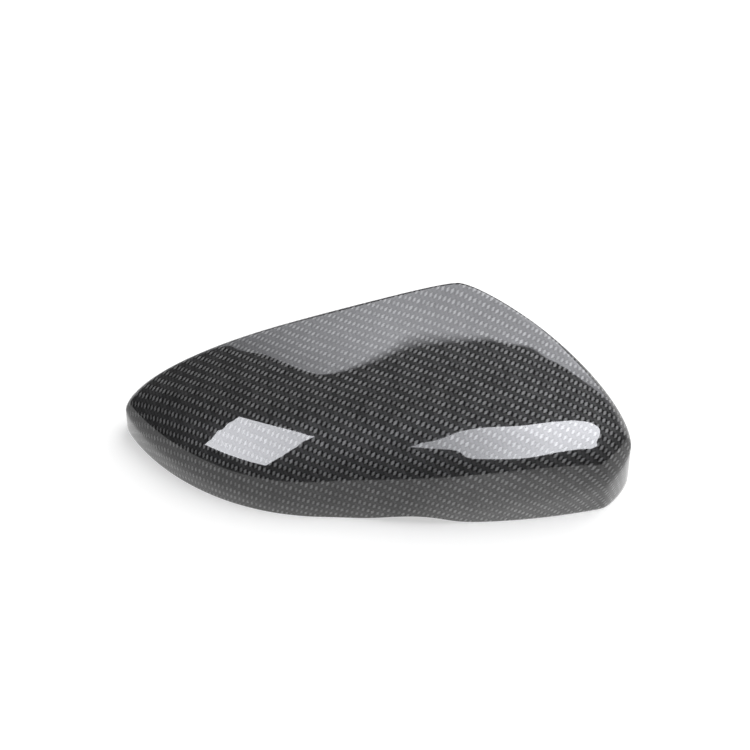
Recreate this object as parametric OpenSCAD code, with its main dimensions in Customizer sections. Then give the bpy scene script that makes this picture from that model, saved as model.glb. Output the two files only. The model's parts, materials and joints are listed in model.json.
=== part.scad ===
// Wing mirror cover: one thin moulded shell, lying on its rim with the open side down.
// X runs from the pointed tip to the blunt heel, Y from the lower edge to the upper edge,
// and Z from the rim plane up to the crown. The origin is on the rim plane, at the middle
// of the rim's outline.

/* [Outline] */
// Length from the tip to the heel
cover_length = 232; // [215:0.5:245]
// Width from the lower edge to the upper corner
cover_width = 103.5; // [98:0.5:112]
// How far the tip lies above the lower edge
tip_y = 51; // [44:0.5:58]
// How far the heel lies above the lower edge
heel_y = 23; // [16:0.5:30]
// Where the lower edge bellies out, from the middle of the length
belly_x = -21; // [-30:1:-5]
// Where the lower edge starts to turn up to the heel
turn_x = 102.5; // [94:0.5:106]
// How far that turn lies above the belly
turn_y = 4.5; // [0:0.5:8]
// Slope of the lower edge at that turn
turn_slope = 0.22; // [0:0.01:0.3]
// Where the upper edge turns its corner
corner_x = 38.5; // [30:0.5:48]
// Slope of the upper edge at the corner
corner_slope = 0; // [0:0.01:0.2]

/* [Roundness of the outline] */
// Pull of the tip along the lower edge
tip_pull_lower = 4; // [1:0.5:12]
// Pull of the tip along the upper edge
tip_pull_upper = 18.5; // [12:0.5:26]
// Pull of the belly toward the tip
belly_pull_tip = 66; // [55:0.5:80]
// Pull of the belly toward the heel
belly_pull_heel = 25; // [20:0.5:50]
// Pull of the heel's turn toward the belly
turn_pull_belly = 60; // [40:0.5:66]
// Pull of the heel's turn toward the heel
turn_pull_heel = 4.5; // [1:0.5:8]
// Pull of the heel along the lower edge
heel_pull_lower = 6; // [3:0.5:12]
// Pull of the heel along the upper edge
heel_pull_upper = 31.5; // [20:0.5:40]
// Pull of the corner toward the tip
corner_pull_tip = 22; // [10:0.5:30]
// Pull of the corner toward the heel
corner_pull_heel = 11.5; // [5:0.5:16]

/* [Crown] */
// Height of the crown above the rim plane
cover_height = 45.2; // [40:0.1:52]
// Where the crown is highest along the length
crown_x = 37; // [25:0.5:60]
// Where the crown is highest across the width, at mid-length
ridge_y = 38; // [34:0.5:56]
// How far that ridge shifts across for each millimetre along
ridge_lean = -0.2; // [-0.25:0.01:0.2]
// Fall of the crown 100 mm along the ridge
end_fall = 11.8; // [4:0.1:14]
// How much more it falls toward the heel than toward the tip
end_fall_skew = 11.5; // [0:0.1:12]
// How much steeper it gets farther out
end_fall_growth = 7.2; // [0:0.1:8]
// Fall of the crown 50 mm across from the ridge
side_fall = 8.5; // [3:0.1:10]
// How much less it falls toward the upper edge than toward the lower edge
side_fall_skew = 5.8; // [0:0.1:7]
// Twist between the ends and the sides
twist = 3.1; // [0:0.1:5]

/* [Edges] */
// Radius of the fold along the upper edge
fold_radius = 3.4; // [2.8:0.1:5]
// Reach of the shoulder inward at the tip
reach_tip = 9.5; // [6:0.5:20]
// Reach of the shoulder in the first half of the lower edge
reach_front = 36.5; // [25:0.5:50]
// Reach of the shoulder in the middle of the lower edge
reach_middle = 46; // [25:0.5:55]
// Reach of the shoulder in the second half of the lower edge
reach_rear = 10; // [6:0.5:40]
// Reach of the shoulder at the heel
reach_heel = 11; // [8:0.5:20]
// Height of the upright wall at the tip
wall_tip = 13.5; // [8:0.5:18]
// Height of the upright wall in the first half of the lower edge
wall_front = 3; // [2:0.5:10]
// Height of the upright wall in the middle of the lower edge
wall_middle = 2.5; // [2:0.5:10]
// Height of the upright wall in the second half of the lower edge
wall_rear = 2.5; // [2:0.5:12]
// Height of the upright wall at the heel
wall_heel = 24; // [14:0.5:26]
// Fullness of the shoulder's curve at the tip, where 2 is an ellipse
fullness_tip = 1.9; // [1.9:0.05:2.6]
// Fullness of the shoulder's curve in the middle
fullness_middle = 1.9; // [1.9:0.05:2.6]
// Fullness of the shoulder's curve at the heel
fullness_heel = 1.9; // [1.9:0.05:2.6]

/* [Shell] */
// Thickness of the wall
wall = 2.2; // [1.6:0.1:2.4]
// Draft of the wall, in degrees
draft = 1.2; // [0.2:0.1:4]
// How far the rim rises in the lower edge
rim_rise = 4; // [0:0.5:4.5]
// Where that rise starts
rise_start = -12; // [-30:1:0]
// Where that rise ends
rise_end = 43; // [30:1:60]

/* [Hooks and ribs] */
// Width of a snap hook
hook_width = 12; // [8:0.5:16]
// Thickness of a snap hook at its root
hook_root = 3.4; // [2.6:0.1:4]
// Thickness of a snap hook at its free end
hook_end = 2.4; // [1.8:0.1:2.6]
// Distance of the hooks from the outline
hook_inset = 13; // [10:0.5:16]
// Height of the hooks' free ends above the rim plane
hook_z = 6; // [2:0.5:10]
// How far a hook's barb sticks out
barb = 1.8; // [1:0.1:2.5]
// Height of a barb from its lead-in to its catch
barb_height = 5; // [3:0.5:7]
// Thickness of a locating rib
rib = 2; // [1.4:0.1:3]
// Reach of a locating rib at its foot, from the outline
rib_reach = 11; // [9:0.5:14]
// Height of the ribs' free ends above the rim plane
rib_z = 8; // [6:0.5:12]

/* [Hidden] */

// The mesh: sections between the tip and the heel, and points on each
stations = 56;
wall_steps = 2;
face_steps = 20;
trace_steps = 40;
// Millimetres of stride that one radian of turn counts for, so corners get closer sections
turn_stride = 20;
// Shares of a half section's points that lie on its edge: shoulder, tip and heel, and fold
shoulder_share = 0.85;
end_share = 0.6;
fold_share = 0.3;

// Where the hooks and ribs stand, as shares of the way from the tip to the heel
hooks_lower = [0.3, 0.62];
hooks_upper = [0.3, 0.5, 0.82];
ribs_lower = [0.18, 0.46, 0.76];
ribs_upper = [0.2, 0.4, 0.68];

// Guide points of the outline, measured from the belly of the lower edge
tip = [-cover_length / 2, tip_y];
heel = [cover_length / 2, heel_y];
belly = [belly_x, 0];
turn = [turn_x, turn_y];
corner = [corner_x, cover_width];
turn_along = [1, turn_slope];
corner_along = [1, corner_slope];

lower_edge = [
    [tip, tip - [0, tip_pull_lower], belly - [belly_pull_tip, 0], belly],
    [belly, belly + [belly_pull_heel, 0], turn - turn_pull_belly * turn_along, turn],
    [turn, turn + turn_pull_heel * turn_along, heel - [0, heel_pull_lower], heel]
];
upper_edge = [
    [tip, tip + [0, tip_pull_upper], corner - corner_pull_tip * corner_along, corner],
    [corner, corner + corner_pull_heel * corner_along, heel + [0, heel_pull_upper], heel]
];

// The two halves of each section meet on the spine, a curve from near the tip to near the heel
spine_tip_in = 28;
spine_tip_up = 9;
spine_heel_in = 26;
spine_heel_up = 16;
spine_pull = 1.2;
spine_tip = tip + [spine_tip_in, spine_tip_up];
spine_heel = heel + [-spine_heel_in, spine_heel_up];

// Distances along and across the ridge at which the falls of the crown are given
fall_run = 100;
fall_spread = 50;

// Value at t on the Bezier curve with these control values
function bezier(c, t) = len(c) == 1 ? c[0]
    : bezier([for (i = [1 : len(c) - 1]) (1 - t) * c[i - 1] + t * c[i]], t);

function spine_at(s) = bezier([spine_tip, spine_tip + spine_pull * (spine_tip - tip),
    spine_heel + spine_pull * (spine_heel - heel), spine_heel], s);

function smooth(x) = let (t = min(max(x, 0), 1)) t * t * (3 - 2 * t);

// Fine polyline along a chain of curves
function trace(curves) = concat([curves[0][0]],
    [for (c = curves, i = [1 : trace_steps]) bezier(c, i / trace_steps)]);

function turn_at(p, i) = i < 1 ? 0
    : let (a = p[i] - p[i - 1], b = p[i + 1] - p[i])
        abs(atan2(a.x * b.y - a.y * b.x, a * b)) * PI / 180;

function stride(p, i) = i + 1 < len(p) ? norm(p[i + 1] - p[i]) + turn_stride * turn_at(p, i) : 0;

// Points at equal strides along a polyline
function paced(p) = let (
        d = [for (i = 0, d = 0; i < len(p); d = d + stride(p, i), i = i + 1) d],
        end = d[len(d) - 1],
        xs = [for (i = [0 : len(p) - 1]) [d[i], p[i].x]],
        ys = [for (i = [0 : len(p) - 1]) [d[i], p[i].y]])
    [for (k = [0 : stations]) [lookup(end * k / stations, xs), lookup(end * k / stations, ys)]];

lower = paced(trace(lower_edge));
upper = paced(trace(upper_edge));

// Height of the crown over a point of the plan
function crown(p) = let (
        u = (p.x - crown_x) / fall_run,
        v = (p.y - ridge_y - ridge_lean * p.x) / fall_spread)
    cover_height - end_fall * u ^ 2 - end_fall_skew * u ^ 3 - end_fall_growth * u ^ 4
        - side_fall * v ^ 2 + side_fall_skew * v ^ 3 + twist * u * v;

// How much of the way to the spine a shoulder may take
most_room = 0.97;

// An edge is [reach of its curve, fall of its curve, fullness, share of the section's points]
function edge_lower(s, p, room) = let (
        reach = bezier([reach_tip, reach_front, reach_middle, reach_rear, reach_heel], s),
        upright = bezier([wall_tip, wall_front, wall_middle, wall_rear, wall_heel], s),
        fullness = bezier([fullness_tip, fullness_middle, fullness_heel], s))
    [min(reach, most_room * room), crown(p) - upright, fullness,
        shoulder_share + (end_share - shoulder_share) * blend(s)];

fold = [fold_radius, fold_radius, 2, fold_share];

// Shares of the length over which the fold grows into the edge of the tip and of the heel
tip_blend = 0.3;
heel_blend = 0.28;
function at_tip(s) = 1 - smooth(s / tip_blend);
function at_heel(s) = smooth((s - 1 + heel_blend) / heel_blend);
function blend(s) = at_tip(s) + at_heel(s);

tip_edge = edge_lower(0, tip, norm(spine_tip - tip));
heel_edge = edge_lower(1, heel, norm(spine_heel - heel));
function edge_upper(s) = fold + at_tip(s) * (tip_edge - fold) + at_heel(s) * (heel_edge - fold);

// Height of the rim above the rim plane, in a rise that leans toward the heel
rise_skew = 1.2;
function rim_height(x) = let (t = (x - rise_start) / (rise_end - rise_start))
    t <= 0 || t >= 1 ? 0 : rim_rise * sin(180 * t ^ rise_skew) ^ 2;

// One half section, from the rim up the wall, over the edge and along the crown to the spine
function half_section(p, spine, edge, rim) = let (
        room = norm(spine - p),
        inward = (spine - p) / room,
        top = crown(p) - edge[1],
        lean = tan(draft))
    concat(
        [for (i = [0 : wall_steps - 1]) let (
                z = rim + (top - rim) * i / wall_steps,
                at = p - inward * lean * (edge[1] + top - z))
            [at.x, at.y, z]],
        [for (i = [0 : face_steps]) let (
                v = i / face_steps,
                sweep = 90 * min(v / edge[3], 1),
                past = max((v - edge[3]) / (1 - edge[3]), 0),
                inset = edge[0] * (1 - cos(sweep) ^ (2 / edge[2])) + (room - edge[0]) * past,
                drop = edge[1] * (1 - sin(sweep) ^ (2 / edge[2])),
                over = p + inward * inset,
                at = over - inward * lean * drop)
            [at.x, at.y, crown(over) - drop]]);

// The outer face: a section at each station, from the lower rim over the spine to the upper rim
half = wall_steps + face_steps;
outer = [for (k = [0 : stations]) let (
        s = k / stations,
        spine = spine_at(s),
        low = half_section(lower[k], spine, edge_lower(s, lower[k], norm(spine - lower[k])),
            rim_height(lower[k].x)),
        high = half_section(upper[k], spine, edge_upper(s), 0))
    concat(low, [for (j = [half - 1 : -1 : 0]) high[j]])];

// A neighbour on the face: past the tip or the heel, a section folds back on its other half
function near(k, j) = k < 0 ? outer[-k][2 * half - j]
    : k > stations ? outer[2 * stations - k][2 * half - j]
    : outer[k][min(max(j, 0), 2 * half)];

function normal_at(k, j) = let (
        raw = j == half ? crown_normal(outer[k][j])
            : cross(near(k + 1, j) - near(k - 1, j), near(k, j + 1) - near(k, j - 1)))
    raw / norm(raw);

function crown_normal(p) = let (step = 0.5)
    [crown([p.x - step, p.y]) - crown([p.x + step, p.y]),
     crown([p.x, p.y - step]) - crown([p.x, p.y + step]), 2 * step];

// The outer face set back by a depth along its normals, with the rim kept on its own height
function set_back(depth) = [for (k = [0 : stations]) [for (j = [0 : 2 * half]) let (
        p = outer[k][j] - depth * normal_at(k, j))
    j == 0 || j == 2 * half ? [p.x, p.y, outer[k][j].z] : p]];

// The tip's and the heel's sections are folded flat, so both halves use the same points
row = 2 * half + 1;
function index(k, j) = k * row + ((k == 0 || k == stations) && j > half ? 2 * half - j : j);

// Each cell's diagonal leans away from the nearer end, where the sections close up
function sheet(start, flip) = [for (k = [0 : stations - 1], j = [0 : 2 * half - 1], f = [0, 1])
    let (
        a = start + index(k, j),
        b = start + index(k + 1, j),
        c = start + index(k + 1, j + 1),
        d = start + index(k, j + 1),
        first = k < stations / 2,
        face = f == 0 ? [a, b, first ? c : d] : [first ? a : b, c, d])
    flip ? [face[2], face[1], face[0]] : face];

function rim_strip(start, j, flip) = [for (k = [0 : stations - 1], f = [0, 1])
    let (
        a = index(k, j),
        b = index(k + 1, j),
        face = f == 0 ? [a, start + a, start + b] : [a, start + b, b])
    flip ? [face[2], face[1], face[0]] : face];

module shell() {
    points = [for (section = concat(outer, set_back(wall))) each section];
    inner_start = (stations + 1) * row;
    polyhedron(points, concat(
        sheet(0, true),
        sheet(inner_start, false),
        rim_strip(inner_start, 0, false),
        rim_strip(inner_start, 2 * half, true)));
}

// Everything under the face set back by half the wall, which trims the roots of hooks and ribs
module filling() {
    floor_at = (stations + 1) * row;
    points = concat([for (section = set_back(wall / 2)) each section],
        [[(spine_tip.x + spine_heel.x) / 2, (spine_tip.y + spine_heel.y) / 2, 0]]);
    polyhedron(points, concat(
        sheet(0, true),
        [for (k = [0 : stations - 1]) [index(k, 0), index(k + 1, 0), floor_at]],
        [for (k = [0 : stations - 1]) [index(k + 1, 2 * half), index(k, 2 * half), floor_at]]));
}

// Puts children at the outline, a share of the way from the tip to the heel, facing inward
module along(edge, share) {
    p = edge[round(share * stations)];
    spine = spine_at(share);
    translate([p.x, p.y, 0])
    rotate(atan2(spine.y - p.y, spine.x - p.x))
    children();
}

// Height of the thin bars that the hooks and ribs are hulled between
slab = 0.6;

module bar(x, z, depth, width, height) translate([x, -width / 2, z]) cube([depth, width, height]);

module snap_hook() {
    hull() {
        bar(hook_inset, hook_z, hook_end, hook_width, slab);
        bar(hook_inset, cover_height, hook_root, hook_width, slab);
    }
    hull() {
        bar(hook_inset, hook_z, hook_end, hook_width, slab);
        bar(hook_inset - barb, hook_z + barb_height - slab, hook_end + barb, hook_width, slab);
    }
}

module locating_rib() {
    hull() {
        bar(0, cover_height, rib_reach, rib, slab);
        bar(0, rib_z, wall + rib, rib, slab);
    }
}

module hooks_and_ribs() {
    for (share = hooks_lower) along(lower, share) snap_hook();
    for (share = hooks_upper) along(upper, share) snap_hook();
    for (share = ribs_lower) along(lower, share) locating_rib();
    for (share = ribs_upper) along(upper, share) locating_rib();
}

rim_points = [for (section = outer) each [section[0], section[2 * half]]];
rim_x = [for (p = rim_points) p.x];
rim_y = [for (p = rim_points) p.y];
middle = [(min(rim_x) + max(rim_x)) / 2, (min(rim_y) + max(rim_y)) / 2];

module mirror_cover() {
    color([0.09, 0.09, 0.1])
    translate([-middle.x, -middle.y, 0]) {
        shell();
        intersection() {
            filling();
            hooks_and_ribs();
        }
    }
}

mirror_cover();
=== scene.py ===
"""Wing mirror cover of twill carbon fibre under clear lacquer, on its rim on a white table."""

import json
import math

import bmesh
import bpy
from mathutils import Matrix, Vector
from mathutils.bvhtree import BVHTree

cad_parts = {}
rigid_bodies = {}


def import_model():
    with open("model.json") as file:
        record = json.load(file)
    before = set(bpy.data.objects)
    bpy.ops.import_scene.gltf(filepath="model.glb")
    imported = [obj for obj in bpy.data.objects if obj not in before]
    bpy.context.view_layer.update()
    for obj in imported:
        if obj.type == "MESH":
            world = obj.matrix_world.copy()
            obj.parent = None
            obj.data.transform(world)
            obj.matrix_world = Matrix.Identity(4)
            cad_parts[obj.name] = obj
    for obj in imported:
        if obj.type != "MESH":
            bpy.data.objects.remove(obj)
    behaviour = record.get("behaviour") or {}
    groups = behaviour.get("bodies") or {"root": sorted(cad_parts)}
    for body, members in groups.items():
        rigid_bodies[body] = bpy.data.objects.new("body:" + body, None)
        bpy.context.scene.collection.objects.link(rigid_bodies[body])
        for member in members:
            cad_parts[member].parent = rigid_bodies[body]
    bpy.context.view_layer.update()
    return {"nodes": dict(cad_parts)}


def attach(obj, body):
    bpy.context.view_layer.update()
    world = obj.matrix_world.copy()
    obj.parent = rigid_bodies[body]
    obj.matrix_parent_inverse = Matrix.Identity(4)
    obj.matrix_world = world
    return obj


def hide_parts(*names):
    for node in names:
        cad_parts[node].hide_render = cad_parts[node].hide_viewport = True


MM = 0.001

WALL = 2.2 * MM
RIM_ROUNDING = 0.35 * MM
# No edge of the rim lies above this height
RIM_TOP = 6 * MM
MOULDED_ROUNDING = 0.3 * MM
# How far the roots of the hooks and ribs sink into the wall
ROOT_DEPTH = 0.7 * MM
# How near a face has to follow the wall to count as its inner skin
SKIN_SLACK = 0.25 * MM
# The part of the crown that the cloth is measured on, as a radius round the middle
CLOTH_MIDDLE = 30 * MM
# The crown is smoothed where the upward part of the face's direction is more than this
CROWN_UP = 0.8
CROWN_ROUNDS = 12

# The lie of the cloth: how many tows of each set are passed on the way from the middle of the
# cloth to a place U, V on it, as a cubic in units of 100 mm
FIRST_TOWS = (62.96, 21.98, -3.96, 8.92, -5.88, 0.61, 0.42, -0.88, 0.90)
SECOND_TOWS = (19.75, -54.72, 3.96, 3.79, 0.94, 2.69, -0.76, -0.88, -0.99)

# Strengths of the lights: the panels show in the gloss only, the lamp on what is matt only, and
# the table and the room on both
TABLE_GLOW = 1.75
ROOM_GLOW = 0.05
BACKDROP_GLOW = 0.5
TOP_POWER = 76
CARD_GLOW = (1.5, 5.4)
LEFT_GLOW = (15.0, 12.0)
RIGHT_GLOW = (6.0, 15.5)
COOL_WHITE = (0.94, 0.95, 1.0)

# Where the card stands behind the cover, the height of its foot at mid-length, how much lower
# the foot is at the tip and at the heel, and how much dimmer the card is at the heel
CARD_Y = 0.056
CARD_FOOT = 0.047
CARD_DROP_TIP = 0.010
CARD_DROP_HEEL = 0.015
CARD_DIMMING = 0.7

# The photo's view: width in pixels, scale in pixels a millimetre, and the camera's place
PHOTO_WIDTH = 750
PHOTO_SCALE = 2.15
CAMERA_DISTANCE = 1.1
CAMERA_ELEVATION = 51.23
CAMERA_TARGET = (-0.00027, 0.01456, 0.02181)
SENSOR_WIDTH = 36


# Selecting and editing

def deselect_all():
    bpy.ops.object.select_all(action="DESELECT")


def edit(piece, select=None, mode="FACE"):
    """Opens a piece in edit mode with only the chosen faces, edges or vertices selected."""
    deselect_all()
    piece.select_set(True)
    bpy.context.view_layer.objects.active = piece
    bpy.ops.object.mode_set(mode="EDIT")
    bpy.ops.mesh.select_mode(type=mode)
    bpy.ops.mesh.select_all(action="DESELECT")
    if select is not None:
        mesh = bmesh.from_edit_mesh(piece.data)
        parts = {"VERT": mesh.verts, "EDGE": mesh.edges, "FACE": mesh.faces}[mode]
        for part in parts:
            if select(part):
                part.select_set(True)
        mesh.select_flush_mode()
        bmesh.update_edit_mesh(piece.data)


def done():
    bpy.ops.object.mode_set(mode="OBJECT")


def modifier(piece, kind, **settings):
    """Adds a modifier, sets it and applies it."""
    deselect_all()
    piece.select_set(True)
    bpy.context.view_layer.objects.active = piece
    added = piece.modifiers.new(kind.title(), kind)
    for name, value in settings.items():
        setattr(added, name, value)
    bpy.ops.object.modifier_apply(modifier=added.name)


def split_off(piece, name):
    """Parts the selected faces from the piece being edited and returns them as a new piece."""
    before = set(bpy.data.objects)
    bpy.ops.mesh.separate(type="SELECTED")
    done()
    part = (set(bpy.data.objects) - before).pop()
    part.name = part.data.name = name
    return part


# The cover

def copy_of(node, name):
    deselect_all()
    node.select_set(True)
    bpy.context.view_layer.objects.active = node
    bpy.ops.object.duplicate()
    piece = bpy.context.view_layer.objects.active
    piece.name = piece.data.name = name
    piece.parent = None
    piece.matrix_world = Matrix.Identity(4)
    for key in list(piece.keys()):
        del piece[key]
    edit(piece, lambda vert: True, "VERT")
    bpy.ops.mesh.remove_doubles(threshold=0.001 * MM)
    done()
    return piece


def take_face_skin(piece):
    """Parts off the outer face: everything that joins the crown without a sharp turn."""
    crown = max(piece.data.polygons, key=lambda p: p.center.z + p.normal.z).index
    edit(piece, lambda face: face.index == crown)
    bpy.ops.mesh.faces_select_linked_flat(sharpness=math.radians(45))
    return split_off(piece, "face_skin")


def take_off_inner_skin(piece, outer):
    """Deletes the inner face and the rim, which leaves the hooks and ribs with open roots."""
    faces = BVHTree.FromObject(outer, bpy.context.evaluated_depsgraph_get())

    def is_skin(face):
        centre = face.calc_center_median()
        _, normal, _, gap = faces.find_nearest(centre)
        lies_on_wall = abs(gap - WALL) < SKIN_SLACK and face.normal.dot(normal) < -0.8
        return lies_on_wall or gap < WALL - SKIN_SLACK

    edit(piece, is_skin)
    bpy.ops.mesh.delete(type="FACE")
    done()
    return faces


def finish_mouldings(piece, faces):
    """Sinks the roots of the hooks and ribs into the wall and rounds their edges."""
    edit(piece, lambda face: True)
    bpy.ops.mesh.dissolve_limited(angle_limit=math.radians(1))
    done()
    edit(piece, lambda e: e.is_boundary, "EDGE")
    bpy.ops.mesh.extrude_edges_move()
    mesh = bmesh.from_edit_mesh(piece.data)
    for vert in mesh.verts:
        if vert.select:
            _, normal, _, _ = faces.find_nearest(vert.co)
            vert.co += ROOT_DEPTH * normal
    bmesh.update_edit_mesh(piece.data)
    done()
    edit(piece, lambda e: (e.calc_face_angle(0) > math.radians(35)
                           and not any(vert.is_boundary for vert in e.verts)), "EDGE")
    bpy.ops.mesh.bevel(offset=MOULDED_ROUNDING, segments=2, profile=0.5)
    done()


def flatten_rim(piece, first_inner):
    """Brings each inner point of the rim to the height of the outer point beside it."""
    edit(piece)
    mesh = bmesh.from_edit_mesh(piece.data)
    mesh.verts.ensure_lookup_table()
    for edge in mesh.edges:
        outer, inner = sorted(edge.verts, key=lambda vert: vert.index)
        if outer.index < first_inner <= inner.index:
            inner.co.z = outer.co.z
    bmesh.update_edit_mesh(piece.data)
    done()


def lay_cloth(piece):
    """Unwraps the face as cloth laid over it, with the map in metres and U along the cover."""
    edit(piece, lambda face: True)
    bpy.ops.uv.unwrap(method="MINIMUM_STRETCH", fill_holes=False, margin=0)
    done()
    mesh = piece.data
    layer = mesh.uv_layers.active
    layer.name = "cloth"
    crown = [p for p in mesh.polygons if math.hypot(p.center.x, p.center.y) < CLOTH_MIDDLE]
    spans = []
    for face in crown:
        corners = [(mesh.vertices[mesh.loops[i].vertex_index].co, layer.data[i].uv.copy())
                   for i in face.loop_indices]
        for (a, ua), (b, ub) in zip(corners, corners[1:] + corners[:1]):
            spans.append((complex(b.x - a.x, b.y - a.y), complex(*(ub - ua))))
    turned = sum(d * u.conjugate() for d, u in spans) / sum(abs(u) ** 2 for d, u in spans)
    mirrored = sum(d * u for d, u in spans) / sum(abs(u) ** 2 for d, u in spans)
    flip = abs(mirrored) > abs(turned)
    near = min(mesh.loops, key=lambda loop: mesh.vertices[loop.vertex_index].co.xy.length)
    origin = complex(*layer.data[near.index].uv)
    for loop in layer.data:
        u = complex(*loop.uv) - origin
        at = mirrored * u.conjugate() if flip else turned * u
        loop.uv = (at.real, at.imag)


def give_finishes(piece):
    """Outer face, inner face with the mouldings, and rim, in this order."""
    piece.data.materials.clear()
    for finish in (carbon_face, moulded_back, cut_edge):
        piece.data.materials.append(finish)


def make_cover(node):
    mouldings = copy_of(node, "mouldings")
    cover = take_face_skin(mouldings)
    faces = take_off_inner_skin(mouldings, cover)
    finish_mouldings(mouldings, faces)
    mouldings.data.uv_layers.new(name="cloth")

    edit(cover, lambda face: True)
    bpy.ops.mesh.tris_convert_to_quads(
        face_threshold=math.radians(60), shape_threshold=math.radians(179), topology_influence=2)
    done()
    modifier(cover, "SUBSURF", levels=1, render_levels=1)
    edit(cover, lambda vert: vert.normal.z > CROWN_UP, "VERT")
    bpy.ops.mesh.vertices_smooth(factor=0.5, repeat=CROWN_ROUNDS)
    done()
    lay_cloth(cover)
    modifier(cover, "SUBSURF", levels=1, render_levels=1)
    first_inner = len(cover.data.vertices)
    give_finishes(cover)
    modifier(cover, "SOLIDIFY", thickness=WALL, offset=-1, use_even_offset=True,
             use_quality_normals=True, material_offset=1, material_offset_rim=2)
    flatten_rim(cover, first_inner)
    edit(cover, lambda e: (e.calc_face_angle(0) > math.radians(60)
                           and max(vert.co.z for vert in e.verts) < RIM_TOP), "EDGE")
    bpy.ops.mesh.bevel(offset=RIM_ROUNDING, segments=2, profile=0.5)
    done()

    give_finishes(mouldings)
    for face in mouldings.data.polygons:
        face.material_index = 1
    deselect_all()
    mouldings.select_set(True)
    cover.select_set(True)
    bpy.context.view_layer.objects.active = cover
    bpy.ops.object.join()
    bpy.ops.object.shade_smooth_by_angle(angle=math.radians(40))
    cover.name = cover.data.name = "cover"
    return cover


# Finishes

class Socket:
    """A shader value that can be written in expressions."""

    def __init__(self, tree, socket):
        self.tree = tree
        self.socket = socket

    def node(self, kind, settings=None, outlet=0, **inlets):
        """Adds a node with its settings first, then the values or links of its sockets."""
        return add_node(self.tree, kind, settings, outlet, **inlets)

    def math(self, operation, *values):
        made = self.tree.nodes.new("ShaderNodeMath")
        made.operation = operation
        for inlet, value in zip(made.inputs, values):
            plug(self.tree, inlet, value)
        return Socket(self.tree, made.outputs[0])

    def floor(self):
        return self.math("FLOOR", self)

    def most(self, other):
        return self.math("MAXIMUM", self, other)

    def __add__(self, other):
        return self.math("ADD", self, other)

    __radd__ = __add__

    def __mul__(self, other):
        return self.math("MULTIPLY", self, other)

    __rmul__ = __mul__

    def __sub__(self, other):
        return self.math("SUBTRACT", self, other)

    def __rsub__(self, other):
        return self.math("SUBTRACT", other, self)

    def __truediv__(self, other):
        return self.math("DIVIDE", self, other)

    def __mod__(self, other):
        return self.math("FLOORED_MODULO", self, other)

    def __pow__(self, other):
        return self.math("POWER", self, other)

    def __lt__(self, other):
        return self.math("LESS_THAN", self, other)


def plug(tree, inlet, value):
    if isinstance(value, Socket):
        tree.links.new(value.socket, inlet)
    else:
        inlet.default_value = value


def add_node(tree, kind, settings=None, outlet=0, **inlets):
    made = tree.nodes.new("ShaderNode" + kind)
    for name, value in (settings or {}).items():
        setattr(made, name, value)
    for name, value in inlets.items():
        key = int(name[1:]) if name[0] == "i" and name[1:].isdigit() else name.replace("_", " ")
        plug(tree, made.inputs[key], value)
    return Socket(tree, made.outputs[outlet])


def new_material(name):
    material = bpy.data.materials.new(name)
    material.use_nodes = True
    tree = material.node_tree
    tree.nodes.clear()
    return material, tree


def finish_with(tree, shader):
    out = tree.nodes.new("ShaderNodeOutputMaterial")
    tree.links.new(shader.socket, out.inputs["Surface"])


def tows_passed(u, v, terms):
    a, b, aa, ab, bb, aaa, aab, abb, bbb = terms
    return (u * (a + u * (aa + u * aaa + v * aab) + v * (ab + v * abb))
            + v * (b + v * (bb + v * bbb)))


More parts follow.
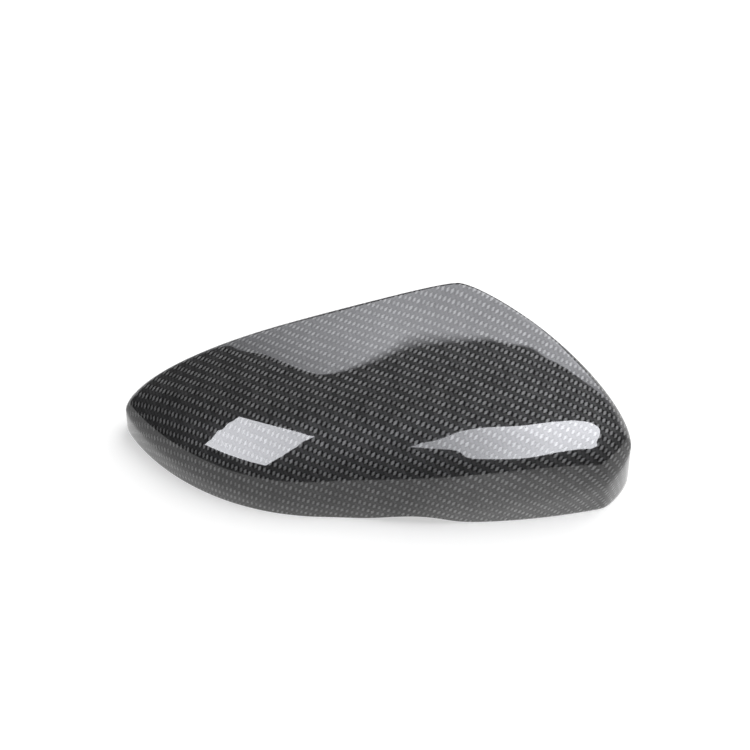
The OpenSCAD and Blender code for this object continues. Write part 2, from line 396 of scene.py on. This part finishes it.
def make_carbon_face():
    """2 x 2 twill under a clear coat: each tow floats over two others and dives under two. The
    fibres' sheen is painted into the base colour: a painted highlight across the middle of each
    float of the first set, a weaker one on the second set, and painted shade where it falls away at
    the float ends and the tow edges.
    """
    material, tree = new_material("carbon_face")
    cloth = add_node(tree, "UVMap", {"uv_map": "cloth"})
    place = cloth.node("SeparateXYZ", i0=cloth).socket.node
    u = Socket(tree, place.outputs[0]) * 10
    v = Socket(tree, place.outputs[1]) * 10
    first = tows_passed(u, v, FIRST_TOWS)
    second = tows_passed(u, v, SECOND_TOWS)
    column = first.floor()
    row = second.floor()
    first_on_top = (column - row) % 4 < 1.5

    float_first = cloth.node("CombineXYZ", X=row, Y=((first - row) / 4).floor(), Z=0.5)
    float_second = cloth.node("CombineXYZ", X=column, Y=((second - column) / 4).floor(), Z=7.5)
    chance_first = cloth.node("TexWhiteNoise", Vector=float_first)
    chance_second = cloth.node("TexWhiteNoise", Vector=float_second)
    along_first = (first - row) % 4 - 1
    across_first = (second - row) * 2 - 1
    along_second = (second - column) % 4 - 2
    across_second = (first - column) * 2 - 1

    lift_first = (1 - 0.6 * across_first ** 2) * (1 - 0.8 * along_first ** 2)
    lift_second = (1 - 0.6 * across_second ** 2) * (1 - 0.8 * along_second ** 2)
    lift = first_on_top * lift_first + (1 - first_on_top) * lift_second

    # Painted highlight on the floats: a bright band across each float of the first set, leaning
    # with the weave, and a weak one on the second set. It falls away to painted shade at the ends
    # of the floats and the edges of the tows.
    shift = along_first + 0.45 * across_first + 0.3 * (chance_first - 0.5)
    painted_glint_first = ((1 - shift ** 2).most(0) ** 3 * (1 - 0.3 * across_first ** 4)
                   * (0.7 + 0.6 * chance_first))
    painted_glint_second = ((0.07 + 0.14 * (1 - along_second ** 2)) * (1 - 0.5 * across_second ** 4)
                    * (0.7 + 0.6 * chance_second))
    painted_glint = first_on_top * painted_glint_first + (1 - first_on_top) * painted_glint_second

    wander = cloth.node("TexNoise", Vector=cloth, Scale=90.0, Detail=2.0)
    tows = cloth.node("CombineXYZ", X=first * 0.8 + row * 7, Y=second * 14)
    across = cloth.node("CombineXYZ", X=first * 14, Y=second * 0.8 + column * 7)
    filaments_first = cloth.node("TexNoise", Vector=tows, Scale=1.0, Detail=2.0)
    filaments_second = cloth.node("TexNoise", Vector=across, Scale=1.0, Detail=2.0)
    filaments = first_on_top * filaments_first + (1 - first_on_top) * filaments_second
    # Painted sheen: the painted highlights, varied along the fibres and at random from float to
    # float and from place to place
    painted_sheen = painted_glint * (0.2 + 0.8 * filaments + 0.8 * wander)

    # Base colour: the cloth's own near black, lifted by the painted sheen toward a painted
    # highlight grey
    cloth_colour_with_painted_sheen = cloth.node("Mix", {"data_type": "RGBA"}, 2, i0=painted_sheen,
                       i6=(0.009, 0.009, 0.0093, 1), i7=(0.17, 0.17, 0.172, 1))
    bump = cloth.node("Bump", Strength=0.5, Distance=0.1 * MM, Height=lift + 0.08 * filaments)
    shader = cloth.node("BsdfPrincipled", Base_Color=cloth_colour_with_painted_sheen, Roughness=0.48, Metallic=0.1,
                        Specular_IOR_Level=0.0, Normal=bump, Coat_Weight=1.0,
                        Coat_Roughness=0.015, Coat_IOR=1.5)
    finish_with(tree, shader)
    return material


def make_grained(name, colour, roughness, scale, detail, strength, depth):
    """Plain dark finish with a fine grain."""
    material, tree = new_material(name)
    place = add_node(tree, "TexCoord", outlet=3)
    grain = add_node(tree, "TexNoise", Vector=place, Scale=scale, Detail=detail)
    bump = add_node(tree, "Bump", Strength=strength, Distance=depth, Height=grain)
    shader = add_node(tree, "BsdfPrincipled", Base_Color=(*colour, 1), Roughness=roughness,
                      Normal=bump)
    finish_with(tree, shader)
    return material


# Studio

def eased(points, steps=4):
    """More points on a smooth curve through the given ones."""
    line = [Vector(p) for p in points]
    line = [2 * line[0] - line[1]] + line + [2 * line[-1] - line[-2]]
    curve = []
    for a, b, c, d in zip(line, line[1:], line[2:], line[3:]):
        for i in range(steps):
            t = i / steps
            curve.append(0.5 * (2 * b + (c - a) * t + (2 * a - 5 * b + 4 * c - d) * t ** 2
                                + (3 * b - a - 3 * c + d) * t ** 3))
    return curve + [line[-2]]


def make_panel(name, verts, faces, ends, left, right, glow=None):
    """A lit panel that the gloss shows and the camera doesn't, brighter toward one side."""
    bpy.ops.mesh.primitive_plane_add(size=1)
    panel = bpy.context.view_layer.objects.active
    panel.name = panel.data.name = name
    mesh = panel.data
    mesh.clear_geometry()
    mesh.from_pydata([tuple(v) for v in verts], [], faces)
    mesh.update()
    shares = mesh.attributes.new("glow", "FLOAT", "POINT")
    shares.data.foreach_set("value", glow or [1] * len(verts))
    material, tree = new_material(name)
    brightest = max(left, right)
    place = add_node(tree, "TexCoord", outlet=3)
    x = place.node("SeparateXYZ", i0=place)
    across = x.node("MapRange", Value=x, From_Min=ends[0], From_Max=ends[1])
    dim, bright = ([part * share / brightest for part in COOL_WHITE] for share in (left, right))
    colour = across.node("Mix", {"data_type": "RGBA"}, 2, i0=across, i6=(*dim, 1), i7=(*bright, 1))
    lit = add_node(tree, "Emission", Color=colour, Strength=brightest)
    unlit = add_node(tree, "Emission", Color=(0, 0, 0, 1), Strength=0)
    share = add_node(tree, "Attribute", {"attribute_name": "glow"}, 2)
    finish_with(tree, add_node(tree, "MixShader", i0=share, i1=unlit, i2=lit))
    mesh.materials.append(material)
    panel.visible_camera = False
    panel.visible_diffuse = False
    panel.visible_shadow = False


def share_of_way(value, start, end):
    """0 before the start, 1 past the end, and evenly between them."""
    return min(max((value - start) / (end - start), 0), 1)


def make_softbox(name, corners, ends, left, right, steps=1):
    outline = eased(corners + corners[:1], steps)[:-1]
    make_panel(name, outline, [tuple(range(len(outline)))], ends, left, right)


def make_back_card():
    """Upright card close behind the cover, dimmer at both ends.

    Its upper edge is given as x and z in metres and the millimetres over which it fades.
    """
    top = eased([(-0.084, 0.046, 0.5), (-0.077, 0.058, 0.5), (-0.070, 0.063, 0.5),
                 (-0.063, 0.069, 0.5), (-0.053, 0.081, 0.5), (-0.043, 0.092, 0.5),
                 (-0.035, 0.097, 1), (-0.024, 0.0945, 3), (-0.013, 0.089, 6),
                 (-0.002, 0.0825, 9), (0.009, 0.0765, 9), (0.019, 0.0757, 7),
                 (0.028, 0.0772, 5), (0.040, 0.0793, 3), (0.055, 0.0817, 1.5),
                 (0.072, 0.0846, 0.5), (0.092, 0.0857, 0.5), (0.115, 0.0857, 0.5),
                 (0.127, 0.085, 0.5), (0.138, 0.082, 0.5), (0.148, 0.074, 0.5),
                 (0.156, 0.052, 0.5), (0.164, 0.034, 0.5)])
    toward_tip = [share_of_way(-x, 0.02, 0.08) for x, _, _ in top]
    toward_heel = [share_of_way(x, 0.12, 0.16) for x, _, _ in top]
    foot = [CARD_FOOT - CARD_DROP_TIP * tip - CARD_DROP_HEEL * heel
            for tip, heel in zip(toward_tip, toward_heel)]
    glow = [1 - CARD_DIMMING * heel for heel in toward_heel]
    verts = [(x, CARD_Y, z + 0.5 * soft * MM) for x, z, soft in top]
    verts += [(x, CARD_Y, z - 0.5 * soft * MM) for x, z, soft in top]
    verts += [(x, CARD_Y, z) for (x, _, _), z in zip(top, foot)]
    count = len(top)
    faces = [(row + i, row + i + 1, row + i + 1 + count, row + i + count)
             for row in (0, count) for i in range(count - 1)]
    make_panel("back_card", verts, faces, (-0.08, 0.005), *CARD_GLOW,
               glow=[0] * count + glow + glow)


def make_table():
    """White table: plain to the camera, brighter near the heel to all else, clear from below."""
    bpy.ops.mesh.primitive_plane_add(size=8)
    table = bpy.context.view_layer.objects.active
    table.name = table.data.name = "table"
    material, tree = new_material("white_table")
    seen = add_node(tree, "LightPath")
    matt = add_node(tree, "BsdfDiffuse", Color=(0.9, 0.9, 0.9, 1))
    even = add_node(tree, "Emission", Color=(1, 1, 1, 1), Strength=1.6)
    plain = add_node(tree, "MixShader", i0=0.35, i1=matt, i2=even)
    place = add_node(tree, "TexCoord", outlet=3)
    x = place.node("SeparateXYZ", i0=place)
    near_heel = (1 - ((x - 0.07) / 0.06) ** 2).most(0)
    colour = x.node("Mix", {"data_type": "RGBA"}, 2, i0=near_heel, i6=(0.7, 0.7, 0.7, 1),
                    i7=(1, 1, 1, 1))
    glow = add_node(tree, "Emission", Color=colour, Strength=TABLE_GLOW)
    lit = add_node(tree, "MixShader", i0=seen, i1=glow, i2=plain)
    from_below = add_node(tree, "NewGeometry", outlet=6)
    clear = add_node(tree, "BsdfTransparent")
    finish_with(tree, add_node(tree, "MixShader", i0=from_below, i1=lit, i2=clear))
    table.data.materials.append(material)


def make_world():
    """Dim room for the gloss, white behind the cover for the camera."""
    world = bpy.data.worlds.new("studio")
    bpy.context.scene.world = world
    world.use_nodes = True
    tree = world.node_tree
    tree.nodes.clear()
    seen = add_node(tree, "LightPath")
    room = add_node(tree, "Background", Color=(1, 1, 1, 1), Strength=ROOM_GLOW)
    white = add_node(tree, "Background", Color=(1, 1, 1, 1), Strength=1.0)
    mixed = add_node(tree, "MixShader", i0=seen, i1=room, i2=white)
    out = tree.nodes.new("ShaderNodeOutputWorld")
    tree.links.new(mixed.socket, out.inputs["Surface"])


def make_lamp(name, place, size, power):
    """A lamp that the gloss doesn't show, turned toward the cover."""
    place = Vector(place)
    bpy.ops.object.light_add(type="AREA", location=place)
    lamp = bpy.context.view_layer.objects.active
    lamp.name = name
    lamp.rotation_euler = place.to_track_quat("Z", "Y").to_euler()
    lamp.data.shape = "DISK"
    lamp.data.size = size
    lamp.data.energy = power
    lamp.visible_glossy = False
    lamp.visible_camera = False


def make_camera():
    elevation = math.radians(CAMERA_ELEVATION)
    back = Vector((0, -math.cos(elevation), math.sin(elevation)))
    right = Vector((1, 0, 0))
    up = back.cross(right)
    bpy.ops.object.camera_add(location=Vector(CAMERA_TARGET) + CAMERA_DISTANCE * back)
    camera = bpy.context.view_layer.objects.active
    camera.rotation_euler = Matrix((right, up, back)).transposed().to_euler()
    camera.data.sensor_width = SENSOR_WIDTH
    camera.data.lens = SENSOR_WIDTH * PHOTO_SCALE * CAMERA_DISTANCE / MM / PHOTO_WIDTH
    camera.data.clip_start = 0.05
    camera.data.clip_end = 50
    bpy.context.scene.camera = camera
    bpy.context.scene.view_settings.view_transform = "Standard"


# The whole

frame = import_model()
carbon_face = make_carbon_face()
moulded_back = make_grained("moulded_back", (0.022, 0.022, 0.023), roughness=0.55,
                            scale=1800.0, detail=3.0, strength=0.4, depth=0.05 * MM)
cut_edge = make_grained("cut_edge", (0.015, 0.015, 0.016), roughness=0.4,
                        scale=900.0, detail=4.0, strength=0.5, depth=0.06 * MM)
cover = make_cover(frame["nodes"]["mirror_cover"])
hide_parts("mirror_cover")
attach(cover, "root")

make_table()
make_world()
make_lamp("top_lamp", (0.9, 0.9, 1.9), 2.5, TOP_POWER)
make_camera()
make_back_card()
make_softbox("backdrop", [(-3, 0.9, 0), (3, 0.9, 0), (3, 0.9, 0.3), (-3, 0.9, 0.3)],
             (-1, 1), BACKDROP_GLOW, BACKDROP_GLOW)
make_softbox("left_softbox", [
    (-0.636, -0.068, 1.066), (-0.658, -0.210, 0.927), (-0.709, -0.314, 0.797),
    (-0.770, -0.485, 0.602), (-0.817, -0.565, 0.495), (-0.900, -0.639, 0.363),
    (-0.548, -1.033, 0.323), (-0.427, -0.912, 0.527), (-0.347, -0.778, 0.707),
    (-0.279, -0.545, 0.960)], (-0.8, -0.3), *LEFT_GLOW)
make_softbox("right_softbox", [
    (-0.191, -0.823, 0.668), (-0.054, -0.373, 0.832), (0.172, 0.282, 1.063), (0.471, 0.715, 1.170),
    (0.772, 0.919, 1.171), (1.096, 1.082, 1.147), (1.163, 0.928, 1.056), (0.827, 0.009, 0.738),
    (0.431, -0.818, 0.481), (0.248, -1.184, 0.369), (0.050, -1.208, 0.419), (-0.032, -1.136, 0.476),
    (-0.068, -0.916, 0.588), (-0.139, -0.859, 0.636)], (-0.15, 0.35), *RIGHT_GLOW, steps=4)
